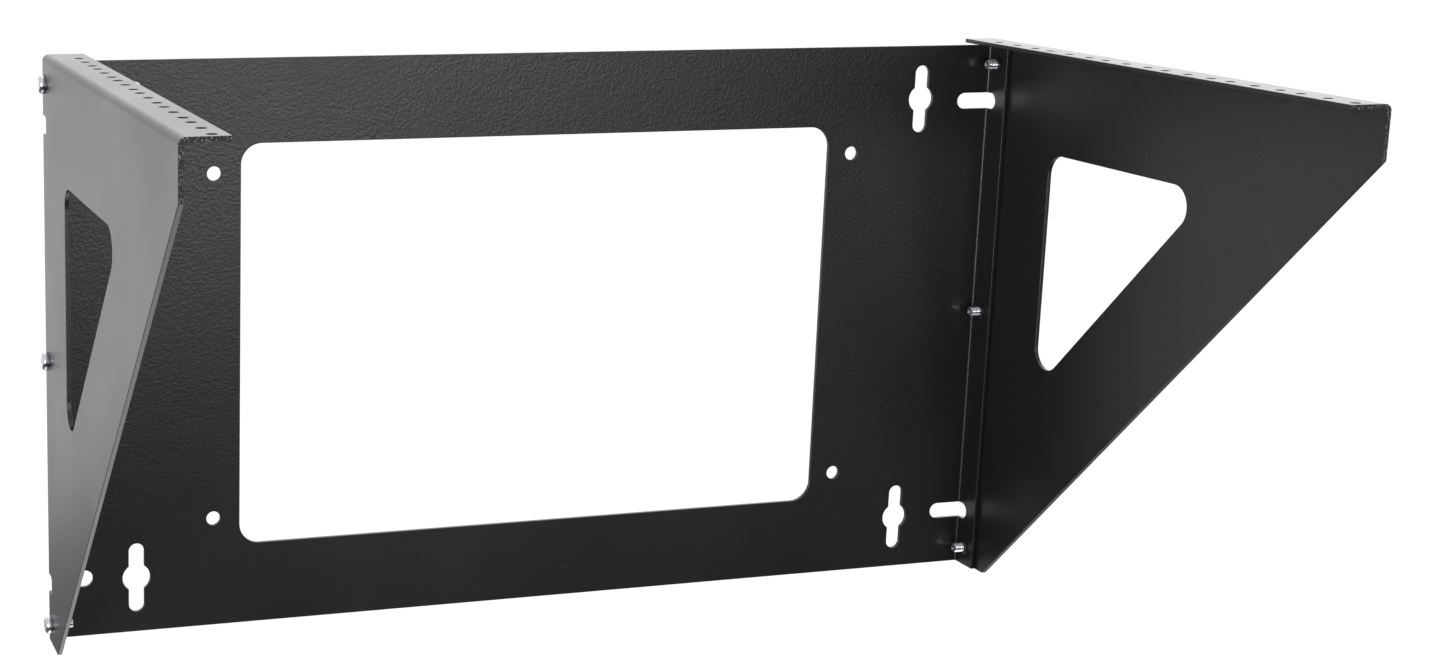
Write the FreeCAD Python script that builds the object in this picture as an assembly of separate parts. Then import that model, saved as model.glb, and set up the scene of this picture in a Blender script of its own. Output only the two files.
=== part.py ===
import FreeCAD, Part
import math
import os

# Wall mount open frame rack, six rack units, equipment fixed to its two top flanges.
# Millimetres. X to the right as seen from the room, Y into the wall, Z up.
# The origin lies on the wall face, at the centre of the back plate.

# Rack standard
rack_units = 6
rack_unit_height = 44.45
hole_step = 15.875
holes_per_unit = 3
row_spacing = 465.1
rack_hole_diameter = 4.2
row_to_outer_face = 12.95
row_to_flange_edge = 6.15
first_hole_from_wall = 23.0
last_hole_margin = 5.5

# Sheet metal
plate_sheet = 2.0
bracket_sheet = 2.0
bend_radius = 1.0
edge_rounding = 0.3
paint_gap = 0.1

# Back plate
plate_height = 275.0
plate_flange_depth = 17.5
window_width = 305.0
window_height = 195.0
window_corner = 10.0
accessory_beside_window = 13.0
accessory_below_window_top = 13.75
accessory_hole_diameter = 6.8
keyhole_from_side = 40.2
keyhole_from_edge = 27.0
keyhole_slot_width = 7.5
keyhole_slot_length = 34.0
keyhole_head_diameter = 13.5
corner_slot_from_edge = 28.5
corner_slot_height = 8.0
corner_slot_length = 19.1
corner_slot_reach = 9.0

# Brackets
bracket_wall_gap = 2.0
flange_above_plate = 1.3
front_edge_height = 23.0
bottom_edge_length = 23.0
tip_rounding = 3.0
notch_height = 8.6
notch_reach = 10.0
notch_corner = 2.5
opening_rear_margin = 55.0
opening_top_margin = 51.9
opening_diagonal_margin = 52.4
opening_corner = 10.0

# Screws, three to a side, turned into tapped collars in the plate's side flanges
screw_from_edge = 9.5
screw_from_wall = 8.5
thread_diameter = 5.0
thread_clearance = 0.05
shank_clearance = 0.25
collar_wall = 1.45
collar_height = 0.8
screw_length = 10.0
tip_chamfer = 0.6
tip_hollow_depth = 0.5
head_diameter = 8.6
head_height = 3.2
head_rim_height = 1.3
head_rounding = 2.2
head_curve_depth = 0.45
cross_width = 1.2
cross_length = 4.6
cross_depth = 1.9
cross_taper = 0.6

# How far a cutter runs past the faces it cuts
cutter_margin = 5.0

# Edges whose faces meet at less than this angle in degrees are smooth bends
smooth_angle = 20.0

# Ends of lines nearer than this are one point
same_point = 1e-6

# Places that follow from the sizes above
half_frame = row_spacing / 2 + row_to_outer_face
half_plate = half_frame - bracket_sheet - paint_gap
half_height = plate_height / 2
outer_bend = bend_radius + plate_sheet
flange_edge = row_spacing / 2 - row_to_flange_edge
bracket_reach = (first_hole_from_wall + (rack_units - 1) * rack_unit_height
                 + (holes_per_unit - 1) * hole_step + last_hole_margin)
flange_top = half_height + flange_above_plate + bracket_sheet
keyhole_x = half_plate - keyhole_from_side
keyhole_z = half_height - keyhole_from_edge
corner_slot_z = half_height - corner_slot_from_edge
screw_heights = {"top": half_height - screw_from_edge, "middle": 0.0, "bottom": screw_from_edge - half_height}

X = FreeCAD.Vector(1, 0, 0)
Y = FreeCAD.Vector(0, 1, 0)
Z = FreeCAD.Vector(0, 0, 1)


def rounded_wire(corners, place):
    """Closed outline through (u, v, radius) corners, put in space by place(u, v)."""
    edges = []
    start = None
    last = None
    count = len(corners)
    for i in range(count):
        u, v, radius = corners[i]
        before = corners[i - 1]
        after = corners[(i + 1) % count]
        back = FreeCAD.Vector(before[0] - u, before[1] - v, 0).normalize()
        ahead = FreeCAD.Vector(after[0] - u, after[1] - v, 0).normalize()
        corner = FreeCAD.Vector(u, v, 0)
        if radius > 0:
            half_turn = back.getAngle(ahead) / 2
            run = radius / math.tan(half_turn)
            first = corner + back * run
            second = corner + ahead * run
            inward = (back + ahead).normalize()
            middle = corner + inward * (radius / math.sin(half_turn) - radius)
        else:
            first = second = corner
        if last is not None and (first - last).Length > same_point:
            edges.append(Part.LineSegment(place(last.x, last.y), place(first.x, first.y)).toShape())
        if start is None:
            start = first
        if radius > 0:
            arc = Part.Arc(place(first.x, first.y), place(middle.x, middle.y), place(second.x, second.y))
            edges.append(arc.toShape())
        last = second
    if (start - last).Length > same_point:
        edges.append(Part.LineSegment(place(last.x, last.y), place(start.x, start.y)).toShape())
    return Part.Wire(edges)


def prism(corners, place, travel):
    """Solid made by moving a rounded outline along a vector."""
    return Part.Face(rounded_wire(corners, place)).extrude(travel)


def in_xy(z):
    return lambda u, v: FreeCAD.Vector(u, v, z)


def in_xz(y):
    return lambda u, v: FreeCAD.Vector(u, y, v)


def in_yz(x):
    return lambda u, v: FreeCAD.Vector(x, u, v)


def rectangle(centre_u, centre_v, width, height, radius):
    u, v = width / 2, height / 2
    signs = ((-1, -1), (1, -1), (1, 1), (-1, 1))
    return [(centre_u + a * u, centre_v + b * v, radius) for a, b in signs]


def is_sharp(shape, edge):
    """True where the two faces of an edge meet at a corner and not in a smooth bend."""
    faces = shape.ancestorsOfType(edge, Part.Face)
    if len(faces) != 2:
        return False
    point = edge.valueAt((edge.FirstParameter + edge.LastParameter) / 2)
    normals = []
    for face in faces:
        u, v = face.Surface.parameter(point)
        normals.append(face.normalAt(u, v))
    return normals[0].getAngle(normals[1]) > math.radians(smooth_angle)


def soften(shape, radius):
    """Round every sharp edge of a cut sheet, as its coat of paint does."""
    edges = [edge for edge in shape.Edges if is_sharp(shape, edge)]
    return shape.makeFillet(radius, edges)


def keyhole(x, z):
    """Cutter for one keyhole: an upright slot with a round hole at its middle."""
    front = -plate_sheet - cutter_margin
    through = Y * (plate_sheet + 2 * cutter_margin)
    slot = rectangle(x, z, keyhole_slot_width, keyhole_slot_length, keyhole_slot_width / 2)
    head = Part.makeCylinder(keyhole_head_diameter / 2, through.Length, FreeCAD.Vector(x, front, z), Y)
    return prism(slot, in_xz(front), through).fuse(head)


def corner_slot(side, z):
    """Cutter for one slot that runs round the bend between the plate and its side flange."""
    low, high = z - corner_slot_height / 2, z + corner_slot_height / 2
    end = corner_slot_height / 2
    inner, outer = half_plate - corner_slot_length, half_plate + cutter_margin
    across = [(side * inner, low, end), (side * outer, low, 0),
              (side * outer, high, 0), (side * inner, high, end)]
    in_plate = prism(across, in_xz(-outer_bend), Y * (outer_bend + cutter_margin))
    along = [(-corner_slot_reach, low, end), (cutter_margin, low, 0),
             (cutter_margin, high, 0), (-corner_slot_reach, high, end)]
    travel = X * side * (outer_bend + cutter_margin)
    return in_plate.fuse(prism(along, in_yz(side * (half_plate - outer_bend)), travel))


def tapped_collar(side, z):
    """Collar drawn out of the side flange round a tapped hole, without its hole."""
    inner_face = half_plate - plate_sheet
    radius = thread_diameter / 2 + thread_clearance + collar_wall
    base = FreeCAD.Vector(side * (inner_face + plate_sheet / 2), -screw_from_wall, z)
    collar = Part.makeCylinder(radius, plate_sheet / 2 + collar_height, base, X * -side)
    mouth = side * (inner_face - collar_height)
    rim = [edge for edge in collar.Edges if abs(edge.CenterOfMass.x - mouth) < edge_rounding]
    return collar.makeFillet(edge_rounding, rim)


def make_back_plate():
    """Channel of bent sheet with its window, slots and holes."""
    h, t, reach = half_plate, plate_sheet, plate_flange_depth
    section = [(-h, -reach, 0), (-h, 0, outer_bend), (h, 0, outer_bend), (h, -reach, 0),
               (h - t, -reach, 0), (h - t, -t, bend_radius), (t - h, -t, bend_radius), (t - h, -reach, 0)]
    plate = prism(section, in_xy(-half_height), Z * plate_height)
    front = -plate_sheet - cutter_margin
    through = Y * (plate_sheet + 2 * cutter_margin)
    cutters = [prism(rectangle(0, 0, window_width, window_height, window_corner), in_xz(front), through)]
    for side in (-1, 1):
        for end in (-1, 1):
            cutters.append(keyhole(side * keyhole_x, end * keyhole_z))
            cutters.append(corner_slot(side, end * corner_slot_z))
            place = FreeCAD.Vector(side * (window_width / 2 + accessory_beside_window), front,
                                   end * (window_height / 2 - accessory_below_window_top))
            cutters.append(Part.makeCylinder(accessory_hole_diameter / 2, through.Length, place, Y))
    plate = soften(plate.cut(cutters).removeSplitter(), edge_rounding)
    bore = thread_diameter / 2 + thread_clearance
    for side in (-1, 1):
        for z in screw_heights.values():
            place = FreeCAD.Vector(side * (half_plate + cutter_margin), -screw_from_wall, z)
            length = plate_sheet + collar_height + 2 * cutter_margin
            hole = Part.makeCylinder(bore, length, place, X * -side)
            plate = plate.fuse(tapped_collar(side, z)).cut(hole)
    return plate.removeSplitter()


def rack_hole_places():
    """Distances of the rack holes from the wall."""
    places = []
    for unit in range(rack_units):
        for hole in range(holes_per_unit):
            places.append(first_hole_from_wall + unit * rack_unit_height + hole * hole_step)
    return places


def offset_corner(first, second, distance, height):
    """Where a line parallel to first-second, that far above it, reaches a height."""
    slope = (second[1] - first[1]) / (second[0] - first[0])
    rise = distance * math.sqrt(1 + slope ** 2)
    return first[0] + (height - rise - first[1]) / slope


def make_bracket(side):
    """Side bracket: an upright web with a flange bent inward along its top."""
    s, t, inner = half_frame, bracket_sheet, flange_edge
    section = [(s, -half_height, 0), (s, flange_top, bend_radius + t), (inner, flange_top, 0),
               (inner, flange_top - t, 0), (s - t, flange_top - t, bend_radius), (s - t, -half_height, 0)]
    section = [(side * u, v, radius) for u, v, radius in section]
    bar = prism(section, in_xz(-bracket_reach), Y * (bracket_reach - bracket_wall_gap))
    rear, above = -bracket_wall_gap, flange_top + cutter_margin
    tip = (rear - bottom_edge_length, -half_height)
    nose = (-bracket_reach, flange_top - front_edge_height)
    profile = [(rear, -half_height, 0), (*tip, tip_rounding), (*nose, 0),
               (-bracket_reach, above, 0), (rear, above, 0)]
    outside = side * (s + cutter_margin)
    across = X * -side * (s - inner + 2 * cutter_margin)
    bracket = bar.common(prism(profile, in_yz(outside), across))

    web = in_yz(outside)
    through = X * -side * (t + 2 * cutter_margin)
    top, back = flange_top - opening_top_margin, rear - opening_rear_margin
    front = offset_corner(tip, nose, opening_diagonal_margin, top)
    slope = (nose[1] - tip[1]) / (nose[0] - tip[0])
    low = top + (back - front) * slope
    opening = [(back, top, opening_corner), (front, top, opening_corner), (back, low, opening_corner)]
    cutters = [prism(opening, web, through)]
    for end in (-1, 1):
        z = end * corner_slot_z
        below, over = z - notch_height / 2, z + notch_height / 2
        notch = [(-notch_reach, below, notch_corner), (cutter_margin, below, 0),
                 (cutter_margin, over, 0), (-notch_reach, over, notch_corner)]
        cutters.append(prism(notch, web, through))
    for distance in rack_hole_places():
        place = FreeCAD.Vector(side * row_spacing / 2, -distance, flange_top - t - cutter_margin)
        cutters.append(Part.makeCylinder(rack_hole_diameter / 2, t + 2 * cutter_margin, place, Z))
    for z in screw_heights.values():
        place = FreeCAD.Vector(outside, -screw_from_wall, z)
        radius = thread_diameter / 2 + shank_clearance
        cutters.append(Part.makeCylinder(radius, through.Length, place, X * -side))
    return soften(bracket.cut(cutters).removeSplitter(), edge_rounding)


def screw_body():
    """Pan head machine screw on the Z axis: head above zero, shank below."""
    shank, rim, tip = thread_diameter / 2, head_diameter / 2, -screw_length
    crown = rim - head_rounding
    shoulder = FreeCAD.Vector(rim, 0, head_rim_height)
    brow = FreeCAD.Vector(crown, 0, head_height)
    chord = brow - shoulder
    outward = FreeCAD.Vector(chord.z, 0, -chord.x).normalize()
    bulge = shoulder + chord * 0.5 + outward * head_curve_depth
    below = [(rim, 0), (shank, 0), (shank, tip + tip_chamfer), (shank - tip_chamfer, tip),
             (shank - 2 * tip_chamfer, tip), (0, tip + tip_hollow_depth), (0, head_height)]
    points = [shoulder] + [FreeCAD.Vector(x, 0, z) for x, z in below] + [brow]
    edges = [Part.LineSegment(a, b).toShape() for a, b in zip(points, points[1:])]
    edges.append(Part.Arc(brow, bulge, shoulder).toShape())
    return Part.Face(Part.Wire(edges)).revolve(FreeCAD.Vector(0, 0, 0), Z, 360)


def cross_recess():
    """Cutter for the cross recess, whose arms grow shorter with depth."""
    arms = []
    bottom, above = head_height - cross_depth, head_height + cutter_margin
    long, short, half = cross_length / 2, cross_length / 2 - cross_taper, cross_width / 2
    outline = [(-long, above, 0), (-long, head_height, 0), (-short, bottom, 0),
               (short, bottom, 0), (long, head_height, 0), (long, above, 0)]
    for turn in (0, 90):
        arm = prism(outline, in_xz(-half), Y * cross_width)
        arm.rotate(FreeCAD.Vector(0, 0, 0), Z, turn)
        arms.append(arm)
    return arms[0].fuse(arms[1])


def make_screw(side, z):
    """One screw, its head seated on the bracket's outer face."""
    screw = screw_body().cut(cross_recess())
    screw.rotate(FreeCAD.Vector(0, 0, 0), Y, side * 90)
    screw.translate(FreeCAD.Vector(side * half_frame, -screw_from_wall, z))
    return screw


def build():
    nodes = {"back_plate": make_back_plate()}
    for name, side in (("left", -1), ("right", 1)):
        nodes[name + "_bracket"] = make_bracket(side)
        for level, z in screw_heights.items():
            nodes["screw_" + name + "_" + level] = make_screw(side, z)
    return nodes


os.makedirs("parts", exist_ok=True)
for node, shape in build().items():
    shape.exportStep("parts/" + node + ".step")
    print(node, shape.ShapeType, len(shape.Solids), shape.isValid(), round(shape.Volume, 1))
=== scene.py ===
import bpy
import math
from mathutils import Matrix, Vector


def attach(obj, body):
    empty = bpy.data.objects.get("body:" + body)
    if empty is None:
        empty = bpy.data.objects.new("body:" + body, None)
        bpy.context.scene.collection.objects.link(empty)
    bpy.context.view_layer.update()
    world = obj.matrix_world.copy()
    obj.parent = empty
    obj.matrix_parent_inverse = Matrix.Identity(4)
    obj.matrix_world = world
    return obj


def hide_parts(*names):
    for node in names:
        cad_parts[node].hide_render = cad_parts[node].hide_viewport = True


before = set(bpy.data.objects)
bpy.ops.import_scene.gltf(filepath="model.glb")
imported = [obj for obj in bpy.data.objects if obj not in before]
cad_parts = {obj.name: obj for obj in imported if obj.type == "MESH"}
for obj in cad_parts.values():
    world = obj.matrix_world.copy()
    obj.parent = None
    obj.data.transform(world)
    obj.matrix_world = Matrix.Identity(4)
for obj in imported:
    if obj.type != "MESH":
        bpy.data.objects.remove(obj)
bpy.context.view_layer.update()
print("frame loaded:", len(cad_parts), "parts")

nodeGap = 200  # spacing of nodes in the editor
number, vector = "NodeSocketFloat", "NodeSocketVector"
samePlace = 1e-6  # metres, points closer than this count as one
cutTolerance = 1e-7  # metres, how near a cut a point counts as on it


def addNode(tree, kind, place, values=None, **settings):
    node = tree.nodes.new(kind)
    node.location = (place[0] * nodeGap, place[1] * nodeGap)
    for name, value in settings.items():
        setattr(node, name, value)
    for socket, value in (values or {}).items():
        node.inputs[socket].default_value = value
    return node


def join(tree, *links):
    # each link is a node, its output, the next node, and that one's input
    for source, output, target, entry in links:
        tree.links.new(source.outputs[output], target.inputs[entry])


def newMaterial(name):
    material = bpy.data.materials.new(name)
    material.use_nodes = True
    material.node_tree.nodes.clear()
    return material, material.node_tree


def newGroup(name, inputs, outputs):
    group = bpy.data.node_groups.new(name, "ShaderNodeTree")
    for label, kind in inputs:
        group.interface.new_socket(label, in_out="INPUT", socket_type=kind)
    for label, kind in outputs:
        group.interface.new_socket(label, in_out="OUTPUT", socket_type=kind)
    return group, addNode(group, "NodeGroupInput", (-4, 0)), addNode(group, "NodeGroupOutput", (4, 0))


def pickOnly(piece):
    bpy.ops.object.select_all(action="DESELECT")
    piece.select_set(True)
    bpy.context.view_layer.objects.active = piece


def finishWith(piece, kind, **settings):
    # adds a modifier and applies it
    pickOnly(piece)
    modifier = piece.modifiers.new("step", kind)
    for name, value in settings.items():
        setattr(modifier, name, value)
    bpy.ops.object.modifier_apply(modifier=modifier.name)


def pickVertices(piece, test):
    # leaves edit mode with the vertices picked that pass the test
    bpy.ops.object.mode_set(mode="EDIT")
    bpy.ops.mesh.select_mode(type="VERT")
    bpy.ops.mesh.select_all(action="DESELECT")
    bpy.ops.object.mode_set(mode="OBJECT")
    for vertex in piece.data.vertices:
        vertex.select = test(vertex.co)


def faceOutward():
    # in edit mode
    bpy.ops.mesh.select_all(action="SELECT")
    bpy.ops.mesh.normals_make_consistent(inside=False)


def applyPlace():
    bpy.ops.object.transform_apply(location=True, rotation=True, scale=True)


def combine(piece, other, operation):
    finishWith(piece, "BOOLEAN", object=other, operation=operation, solver="EXACT")
    bpy.data.objects.remove(other)


def millimetres(value):
    return value / 1000


# the camera looks at the rack from the photograph's side
cameraView = {
    "place": (-0.4135, -1.0331, 0.2462),
    "tilt": (78.407, -0.643, -16.039),  # degrees
    "lens": 57.19,
    "shift": (0.28, -0.03),
    "clip": (0.01, 50),
}


def makeCamera(view):
    cameraData = bpy.data.cameras.new("photoCamera")
    cameraData.lens = view["lens"]
    cameraData.shift_x, cameraData.shift_y = view["shift"]
    cameraData.clip_start, cameraData.clip_end = view["clip"]
    photoCamera = bpy.data.objects.new("photoCamera", cameraData)
    photoCamera.location = view["place"]
    photoCamera.rotation_euler = [math.radians(angle) for angle in view["tilt"]]
    bpy.context.scene.collection.objects.link(photoCamera)
    bpy.context.scene.camera = photoCamera


makeCamera(cameraView)
print("camera done")


# skin of sprayed powder, shared by the coats: rounded peel, fine grain, and slow drifts of gloss
skinNoise = {
    "peel": {"Detail": 1.5, "Roughness": 0.45},
    "grain": {"Detail": 2.0, "Roughness": 0.6},
    "drift": {"Scale": 9.0, "Detail": 3.0, "Roughness": 0.55},
}


def makeCoatSkin(noise):
    group, inside, outside = newGroup(
        "coatSkin",
        [("Position", vector), ("Peel Scale", number), ("Peel Height", number),
         ("Grain Scale", number), ("Grain Height", number)],
        [("Height", number), ("Drift", number), ("Grain", number)])
    peel = addNode(group, "ShaderNodeTexNoise", (-2, 2), noise["peel"])
    grain = addNode(group, "ShaderNodeTexNoise", (-2, 0), noise["grain"])
    drift = addNode(group, "ShaderNodeTexNoise", (-2, -2), noise["drift"])
    peelHeight = addNode(group, "ShaderNodeMath", (0, 2), operation="MULTIPLY")
    grainHeight = addNode(group, "ShaderNodeMath", (0, 0), operation="MULTIPLY")
    total = addNode(group, "ShaderNodeMath", (2, 1), operation="ADD")
    join(group,
         (inside, "Position", peel, "Vector"), (inside, "Peel Scale", peel, "Scale"),
         (inside, "Position", grain, "Vector"), (inside, "Grain Scale", grain, "Scale"),
         (inside, "Position", drift, "Vector"),
         (peel, "Fac", peelHeight, 0), (inside, "Peel Height", peelHeight, 1),
         (grain, "Fac", grainHeight, 0), (inside, "Grain Height", grainHeight, 1),
         (peelHeight, 0, total, 0), (grainHeight, 0, total, 1),
         (total, 0, outside, "Height"), (drift, "Fac", outside, "Drift"),
         (grain, "Fac", outside, "Grain"))
    return group


coatSkin = makeCoatSkin(skinNoise)


# black powder coat
plateLook = {
    "colourLow": (0.0030, 0.0030, 0.0031, 1),
    "colourHigh": (0.0050, 0.0050, 0.0052, 1),
    "ior": 1.5,
    "skin": {"Peel Scale": 800.0, "Peel Height": 1.0, "Grain Scale": 3000.0, "Grain Height": 0.15},
    "thickness": {"From Min": -0.10, "From Max": 0.12, "To Min": 0.45, "To Max": 1.3},  # by Z
    "bump": {"Strength": 1.0, "Distance": 0.00011},
    "gloss": {"From Min": 0.3, "From Max": 0.7, "To Min": 0.32, "To Max": 0.38},  # drift to roughness
    # rough specks on the brackets' sawn front ends, which lie at the lowest Y
    "ends": {"From Min": -0.28225, "From Max": -0.28205, "To Min": 1.0, "To Max": 0.0},
    "endRoughness": 0.70,
    "speckNoise": {"Scale": 1500.0, "Detail": 2.0, "Roughness": 0.7},
    "speckSpread": {"From Min": 0.53, "From Max": 0.66},
    "speckColour": (0.17, 0.17, 0.173, 1),
    "speckHeight": 3.0,
}
bracketSkin = {  # a smoother spray than the plate's
    "Peel Scale": 950.0, "Peel Height": 0.7, "Grain Scale": 3000.0, "Grain Height": 0.15,
}


def makeCoat(name, look):
    material, tree = newMaterial(name)
    place = addNode(tree, "ShaderNodeTexCoord", (-10, 0))
    split = addNode(tree, "ShaderNodeSeparateXYZ", (-8, -3))
    skin = addNode(tree, "ShaderNodeGroup", (-8, 0), look["skin"], node_tree=coatSkin)
    thickness = addNode(tree, "ShaderNodeMapRange", (-4, -2), look["thickness"])
    skinHeight = addNode(tree, "ShaderNodeMath", (-2, -2), operation="MULTIPLY")
    ends = addNode(tree, "ShaderNodeMapRange", (-6, -3), look["ends"])
    specks = addNode(tree, "ShaderNodeTexNoise", (-8, -5), look["speckNoise"])
    speckSpread = addNode(tree, "ShaderNodeMapRange", (-6, -5), look["speckSpread"])
    speckMask = addNode(tree, "ShaderNodeMath", (-4, -4), operation="MULTIPLY")
    speckRise = addNode(tree, "ShaderNodeMath", (-2, -4), {1: look["speckHeight"]}, operation="MULTIPLY")
    height = addNode(tree, "ShaderNodeMath", (0, -3), operation="ADD")
    tint = addNode(tree, "ShaderNodeMix", (-6, 3),
                   {"A": look["colourLow"], "B": look["colourHigh"]}, data_type="RGBA")
    speckTint = addNode(tree, "ShaderNodeMix", (-2, 3), {"B": look["speckColour"]}, data_type="RGBA")
    gloss = addNode(tree, "ShaderNodeMapRange", (-2, 0), look["gloss"])
    endGloss = addNode(tree, "ShaderNodeMix", (0, 0), {"B": look["endRoughness"]}, data_type="FLOAT")
    bump = addNode(tree, "ShaderNodeBump", (2, -3), look["bump"])
    surface = addNode(tree, "ShaderNodeBsdfPrincipled", (4, 0), {"IOR": look["ior"]})
    result = addNode(tree, "ShaderNodeOutputMaterial", (6, 0))
    join(tree,
         (place, "Object", skin, "Position"), (place, "Object", split, "Vector"),
         (place, "Object", specks, "Vector"),
         (split, "Y", ends, "Value"), (split, "Z", thickness, "Value"),
         (skin, "Height", skinHeight, 0), (thickness, "Result", skinHeight, 1),
         (specks, "Fac", speckSpread, "Value"),
         (ends, "Result", speckMask, 0), (speckSpread, "Result", speckMask, 1),
         (speckMask, 0, speckRise, 0),
         (skinHeight, 0, height, 0), (speckRise, 0, height, 1),
         (height, 0, bump, "Height"),
         (skin, "Grain", tint, "Factor"),
         (tint, "Result", speckTint, "A"), (speckMask, 0, speckTint, "Factor"),
         (skin, "Drift", gloss, "Value"),
         (gloss, "Result", endGloss, "A"), (ends, "Result", endGloss, "Factor"),
         (speckTint, "Result", surface, "Base Color"), (endGloss, "Result", surface, "Roughness"),
         (bump, "Normal", surface, "Normal"), (surface, "BSDF", result, "Surface"))
    return material


def dress(node, material):
    # the sheets come from the frame with their bends and soft edges, and only take their coat
    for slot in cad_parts[node].material_slots:
        slot.material = material


plateCoat = makeCoat("plateCoat", plateLook)
bracketCoat = makeCoat("bracketCoat", dict(plateLook, skin=bracketSkin))
dress("back_plate", plateCoat)
dress("left_bracket", bracketCoat)
dress("right_bracket", bracketCoat)
print("coat done")


# bright zinc, clouded and finely scratched
zincLook = {
    "colourLow": (0.52, 0.55, 0.60, 1),
    "colourHigh": (0.80, 0.83, 0.87, 1),
    "cloud": {"Scale": 420.0, "Detail": 4.0, "Roughness": 0.6},
    "gloss": {"From Min": 0.3, "From Max": 0.7, "To Min": 0.16, "To Max": 0.30},  # cloud to roughness
    "scratch": {"Scale": 3200.0, "Detail": 2.0, "Roughness": 0.7},
    "bump": {"Strength": 0.5, "Distance": 0.00001},
}


def makeZinc(name, look):
    material, tree = newMaterial(name)
    place = addNode(tree, "ShaderNodeTexCoord", (-6, 0))
    cloud = addNode(tree, "ShaderNodeTexNoise", (-4, 1), look["cloud"])
    scratch = addNode(tree, "ShaderNodeTexNoise", (-4, -1), look["scratch"])
    tint = addNode(tree, "ShaderNodeMix", (-2, 2),
                   {"A": look["colourLow"], "B": look["colourHigh"]}, data_type="RGBA")
    gloss = addNode(tree, "ShaderNodeMapRange", (-2, 0), look["gloss"])
    bump = addNode(tree, "ShaderNodeBump", (-2, -2), look["bump"])
    surface = addNode(tree, "ShaderNodeBsdfPrincipled", (0, 0), {"Metallic": 1.0})
    result = addNode(tree, "ShaderNodeOutputMaterial", (2, 0))
    join(tree,
         (place, "Object", cloud, "Vector"), (place, "Object", scratch, "Vector"),
         (cloud, "Fac", tint, "Factor"), (cloud, "Fac", gloss, "Value"),
         (scratch, "Fac", bump, "Height"),
         (tint, "Result", surface, "Base Color"), (gloss, "Result", surface, "Roughness"),
         (bump, "Normal", surface, "Normal"), (surface, "BSDF", result, "Surface"))
    return material


brightZinc = makeZinc("brightZinc", zincLook)


# screws, in millimetres from the seat under the head
screwSizes = {
    "headRadius": 4.3, "headHeight": 3.2, "headRounding": 1.75, "roundingSteps": 8, "headSegments": 48,
    "crossWidth": 1.15, "crossLength": 4.5, "crossDepth": 1.9, "crossTaper": 0.55, "cutterRise": 0.5,
    "crestRadius": 2.48, "rootRadius": 2.05, "pitch": 0.8, "rootWidth": 0.14,
    "crestRounding": ((0.11, 0.15), (0.035, 0.08), (0.0, 0.0)),  # below the crest and beside its middle
    "length": 10.0, "threadSteps": 32, "spareTurns": 5,
    "tipSegments": 48, "tipRoom": 0.02, "tipRise": 2.0, "tipChamfer": 0.6, "chamferSteps": 2,
    "tipLand": 0.35, "dishSlope": 0.9, "tipDish": 0.5,
    "edgeSoftness": 0.05, "softSteps": 2, "softFrom": 35, "smoothBelow": 32,  # the last two in degrees
}


def makeCrossCutter(sizes, turn):
    top, depth = millimetres(sizes["headHeight"]), millimetres(sizes["crossDepth"])
    rise = millimetres(sizes["cutterRise"])
    bottom = top - depth
    bpy.ops.mesh.primitive_cube_add(
        size=1, location=(0, 0, top + (rise - depth) / 2), rotation=(0, 0, math.radians(turn)),
        scale=(millimetres(sizes["crossWidth"]), millimetres(sizes["crossLength"]), depth + rise))
    cutter = bpy.context.object
    applyPlace()
    pickVertices(cutter, lambda place: place.z < bottom + rise)
    bpy.ops.object.mode_set(mode="EDIT")
    bpy.ops.transform.resize(value=(sizes["crossTaper"], sizes["crossTaper"], 1),
                             center_override=(0, 0, bottom))
    bpy.ops.object.mode_set(mode="OBJECT")
    return cutter


def makeHead(sizes):
    height = millimetres(sizes["headHeight"])
    bpy.ops.mesh.primitive_cylinder_add(vertices=sizes["headSegments"], depth=height,
                                        radius=millimetres(sizes["headRadius"]), location=(0, 0, height / 2))
    head = bpy.context.object
    applyPlace()
    pickVertices(head, lambda place: place.z > height / 2)
    bpy.ops.object.mode_set(mode="EDIT")
    bpy.ops.mesh.bevel(offset=millimetres(sizes["headRounding"]), segments=sizes["roundingSteps"],
                       profile=0.5, affect="EDGES")
    faceOutward()
    bpy.ops.object.mode_set(mode="OBJECT")
    for turn in (0, 90):
        combine(head, makeCrossCutter(sizes, turn), "DIFFERENCE")
    finishWith(head, "BEVEL", width=millimetres(sizes["edgeSoftness"]), segments=sizes["softSteps"],
               limit_method="ANGLE", angle_limit=math.radians(sizes["softFrom"]))
    return head


def makeThreadedRod(sizes):
    # one tooth of the thread turned up along the axis, cut flat at both ends
    root, crest = millimetres(sizes["rootRadius"]), millimetres(sizes["crestRadius"])
    pitch, land = millimetres(sizes["pitch"]), millimetres(sizes["rootWidth"]) / 2
    length = millimetres(sizes["length"])
    turns = int(sizes["length"] / sizes["pitch"]) + sizes["spareTurns"]
    rising = [(crest - millimetres(down), 0, pitch / 2 - millimetres(aside))
              for down, aside in sizes["crestRounding"]]
    falling = [(x, 0, pitch - z) for x, y, z in reversed(rising[:-1])]
    tooth = [(root, 0, 0), (root, 0, land)] + rising + falling + [(root, 0, pitch - land), (root, 0, pitch)]
    mesh = bpy.data.meshes.new("tooth")
    mesh.from_pydata([(x, y, z - length - 2 * pitch) for x, y, z in tooth],
                     [(i, i + 1) for i in range(len(tooth) - 1)], [])
    rod = bpy.data.objects.new("rod", mesh)
    bpy.context.scene.collection.objects.link(rod)
    finishWith(rod, "SCREW", axis="Z", screw_offset=pitch, iterations=turns,
               steps=sizes["threadSteps"], render_steps=sizes["threadSteps"])
    bpy.ops.object.mode_set(mode="EDIT")
    bpy.ops.mesh.select_all(action="SELECT")
    bpy.ops.mesh.remove_doubles(threshold=samePlace)
    for height, clearUp in ((-length, False), (pitch / 2, True)):
        bpy.ops.mesh.select_all(action="SELECT")
        bpy.ops.mesh.bisect(plane_co=(0, 0, height), plane_no=(0, 0, 1), use_fill=True,
                            clear_outer=clearUp, clear_inner=not clearUp, threshold=cutTolerance)
    faceOutward()
    bpy.ops.object.mode_set(mode="OBJECT")
    return rod


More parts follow.
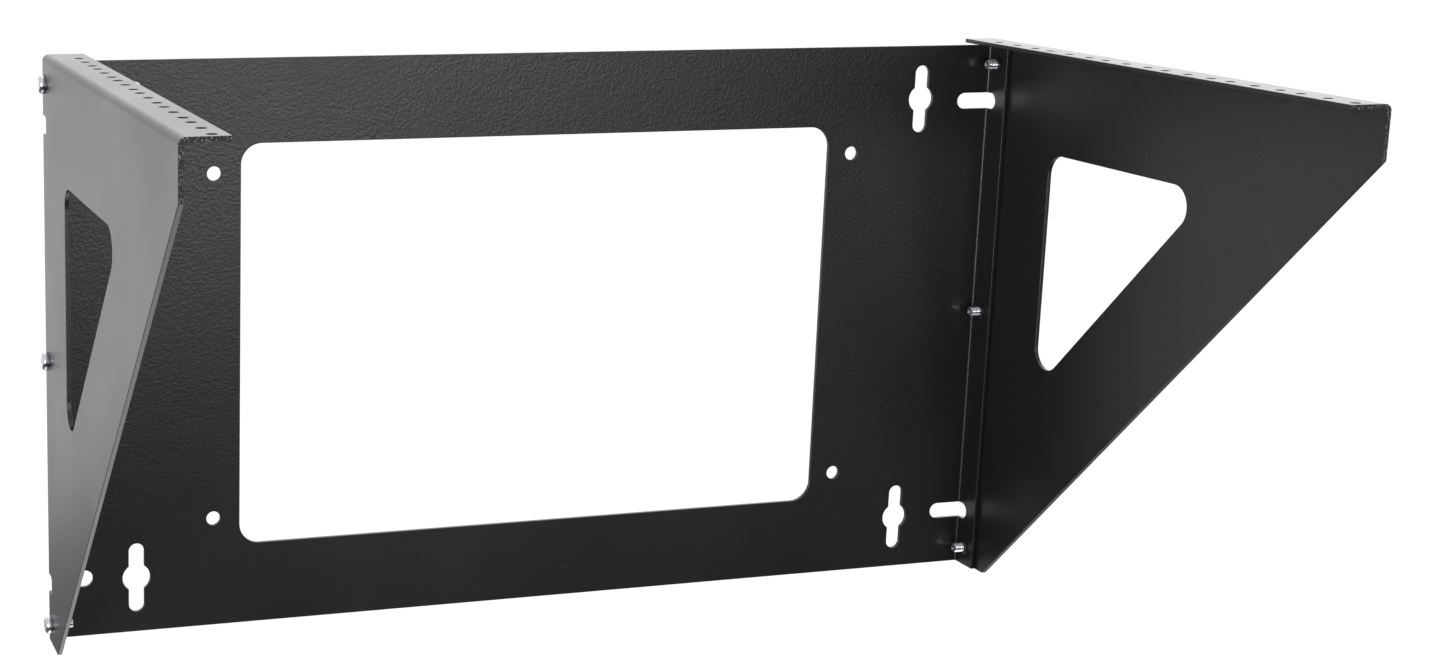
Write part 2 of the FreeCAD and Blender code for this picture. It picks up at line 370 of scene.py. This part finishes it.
def makeTipShape(sizes):
    # plain rod with a chamfered and dished end, which the threaded rod is trimmed to
    length, rise = millimetres(sizes["length"]), millimetres(sizes["tipRise"])
    bpy.ops.mesh.primitive_cylinder_add(vertices=sizes["tipSegments"], depth=length + rise,
                                        radius=millimetres(sizes["crestRadius"] + sizes["tipRoom"]),
                                        location=(0, 0, (rise - length) / 2))
    shape = bpy.context.object
    applyPlace()
    pickVertices(shape, lambda place: place.z < 0)
    bpy.ops.object.mode_set(mode="EDIT")
    bpy.ops.mesh.bevel(offset=millimetres(sizes["tipChamfer"]), segments=sizes["chamferSteps"],
                       profile=0.5, affect="EDGES")
    bpy.ops.object.mode_set(mode="OBJECT")
    pickVertices(shape, lambda place: place.z < -length + samePlace)
    bpy.ops.object.mode_set(mode="EDIT")
    bpy.ops.mesh.inset(thickness=millimetres(sizes["tipLand"]))
    bpy.ops.mesh.inset(thickness=millimetres(sizes["dishSlope"]), depth=-millimetres(sizes["tipDish"]))
    faceOutward()
    bpy.ops.object.mode_set(mode="OBJECT")
    return shape


def makeScrew(sizes):
    screw = makeThreadedRod(sizes)
    combine(screw, makeTipShape(sizes), "INTERSECT")
    combine(screw, makeHead(sizes), "UNION")
    pickOnly(screw)
    bpy.ops.object.shade_smooth_by_angle(angle=math.radians(sizes["smoothBelow"]))
    screw.name = "screw"
    return screw


# each screw's side, height in millimetres, and how far it was turned in degrees
screwPlaces = {
    "screw_left_top": (-1, 128.0, 12),
    "screw_left_middle": (-1, 0.0, 38),
    "screw_left_bottom": (-1, -128.0, 71),
    "screw_right_top": (1, 128.0, 55),
    "screw_right_middle": (1, 0.0, 22),
    "screw_right_bottom": (1, -128.0, 83),
}
screwSeat = {"x": 245.5, "y": -8.5}


def placeScrews(pattern):
    pattern.data.materials.clear()
    pattern.data.materials.append(brightZinc)
    for node, (side, height, turn) in screwPlaces.items():
        screw = bpy.data.objects.new(node + "_detail", pattern.data.copy())
        bpy.context.scene.collection.objects.link(screw)
        outward = Matrix.Rotation(math.radians(90 * side), 4, "Y")
        driven = Matrix.Rotation(math.radians(turn), 4, "Z")
        seat = Matrix.Translation((side * millimetres(screwSeat["x"]), millimetres(screwSeat["y"]),
                                   millimetres(height)))
        screw.matrix_world = seat @ outward @ driven
        pickOnly(screw)
        applyPlace()
        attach(screw, "root")
        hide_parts(node)
    bpy.data.objects.remove(pattern)


placeScrews(makeScrew(screwSizes))
print("screws done")


# how bright the studio is in each direction: white behind the rack and towards the right,
# and a soft front that darkens downwards to a thin bright strip far below
studioLevels = {
    "behind": {"From Min": -0.36, "From Max": -0.27, "To Min": 0.36, "To Max": 1.40},
    "inFront": {"From Min": -0.30, "From Max": 0.04, "To Min": 0.02, "To Max": 1.1},
    "turn": {"From Min": -0.20, "From Max": 0.20, "To Min": 0.0, "To Max": 1.0},
    "sideways": {"From Min": -0.70, "From Max": 0.70, "To Min": 0.65, "To Max": 2.0},
    "raised": {"From Min": -0.04, "From Max": 0.08, "To Min": 1.0, "To Max": 1.15},
    "below": {"From Min": -0.93, "From Max": -0.78, "To Min": 2.2, "To Max": 0.0},
}


def makeStudioLevel(levels):
    group, inside, outside = newGroup("studioLevel", [("Direction", vector)], [("Level", number)])
    unit = addNode(group, "ShaderNodeVectorMath", (-3, 0), operation="NORMALIZE")
    split = addNode(group, "ShaderNodeSeparateXYZ", (-2, 0))
    ramps = {name: addNode(group, "ShaderNodeMapRange", (0, 2 * row), values,
                           interpolation_type="SMOOTHSTEP")
             for row, (name, values) in enumerate(levels.items())}
    leaning = addNode(group, "ShaderNodeMath", (1, 2), operation="MULTIPLY")
    backdrop = addNode(group, "ShaderNodeMath", (2, 2), operation="MULTIPLY")
    allRound = addNode(group, "ShaderNodeMix", (3, 0), data_type="FLOAT")
    total = addNode(group, "ShaderNodeMath", (3, -2), operation="ADD")
    join(group,
         (inside, "Direction", unit, 0), (unit, "Vector", split, "Vector"),
         (split, "X", ramps["sideways"], "Value"), (split, "Y", ramps["turn"], "Value"),
         (split, "Z", ramps["behind"], "Value"), (split, "Z", ramps["inFront"], "Value"),
         (split, "Z", ramps["raised"], "Value"), (split, "Z", ramps["below"], "Value"),
         (ramps["behind"], "Result", leaning, 0), (ramps["sideways"], "Result", leaning, 1),
         (leaning, 0, backdrop, 0), (ramps["raised"], "Result", backdrop, 1),
         (ramps["turn"], "Result", allRound, "Factor"),
         (ramps["inFront"], "Result", allRound, "A"), (backdrop, 0, allRound, "B"),
         (allRound, "Result", total, 0), (ramps["below"], "Result", total, 1),
         (total, 0, outside, "Level"))
    return group


studioLevel = makeStudioLevel(studioLevels)

floorLook = {
    "height": -0.75,
    "size": 30.0,
    "colour": (0.80, 0.80, 0.80, 1),  # reads as white in this studio, apart from the rack's shadow
}


def makeFloor(look):
    bpy.ops.object.select_all(action="DESELECT")
    bpy.ops.mesh.primitive_plane_add(size=look["size"], location=(0, 0, look["height"]))
    floor = bpy.context.object
    floor.name = "floor"
    applyPlace()
    material, tree = newMaterial("paleFloor")
    place = addNode(tree, "ShaderNodeTexCoord", (-6, -2))
    level = addNode(tree, "ShaderNodeGroup", (-4, -2), node_tree=studioLevel)
    rays = addNode(tree, "ShaderNodeLightPath", (-4, 2))
    mirrored = addNode(tree, "ShaderNodeEmission", (-2, -2))
    matte = addNode(tree, "ShaderNodeBsdfDiffuse", (-2, 0), {"Color": look["colour"]})
    mix = addNode(tree, "ShaderNodeMixShader", (0, 0))
    result = addNode(tree, "ShaderNodeOutputMaterial", (2, 0))
    join(tree,
         (place, "Object", level, "Direction"), (level, "Level", mirrored, "Strength"),
         (rays, "Is Glossy Ray", mix, "Fac"), (matte, "BSDF", mix, 1), (mirrored, "Emission", mix, 2),
         (mix, "Shader", result, "Surface"))
    floor.data.materials.append(material)


def makeWorld():
    world = bpy.data.worlds.new("studioWorld")
    bpy.context.scene.world = world
    world.use_nodes = True
    tree = world.node_tree
    tree.nodes.clear()
    place = addNode(tree, "ShaderNodeTexCoord", (-6, 0))
    level = addNode(tree, "ShaderNodeGroup", (-4, 0), node_tree=studioLevel)
    rays = addNode(tree, "ShaderNodeLightPath", (-4, 3))
    softLight = addNode(tree, "ShaderNodeBackground", (-1, 0))
    white = addNode(tree, "ShaderNodeBackground", (-1, 2), {"Color": (1, 1, 1, 1), "Strength": 1.0})
    mix = addNode(tree, "ShaderNodeMixShader", (1, 0))
    result = addNode(tree, "ShaderNodeOutputWorld", (3, 0))
    join(tree,
         (place, "Generated", level, "Direction"), (level, "Level", softLight, "Strength"),
         (rays, "Is Camera Ray", mix, "Fac"), (softLight, "Background", mix, 1),
         (white, "Background", mix, 2), (mix, "Shader", result, "Surface"))


lampSet = {
    "frontLamp": {"place": (0.55, -3.0, 0.16), "aim": (0.0, 0.0, 0.0), "size": 0.7, "power": 15.0},
    "leftLamp": {"place": (-1.9, -1.7, -0.05), "aim": (0.1, 0.0, 0.0), "size": 0.9, "power": 38.0},
}


def makeLamps(lamps):
    for name, lamp in lamps.items():
        data = bpy.data.lights.new(name, "AREA")
        data.shape = "SQUARE"
        data.size = lamp["size"]
        data.energy = lamp["power"]
        holder = bpy.data.objects.new(name, data)
        bpy.context.scene.collection.objects.link(holder)
        holder.location = lamp["place"]
        aim = Vector(lamp["aim"]) - Vector(lamp["place"])
        holder.rotation_euler = aim.to_track_quat("-Z", "Y").to_euler()


makeFloor(floorLook)
makeWorld()
makeLamps(lampSet)
bpy.context.scene.view_settings.view_transform = "Standard"
print("studio done")
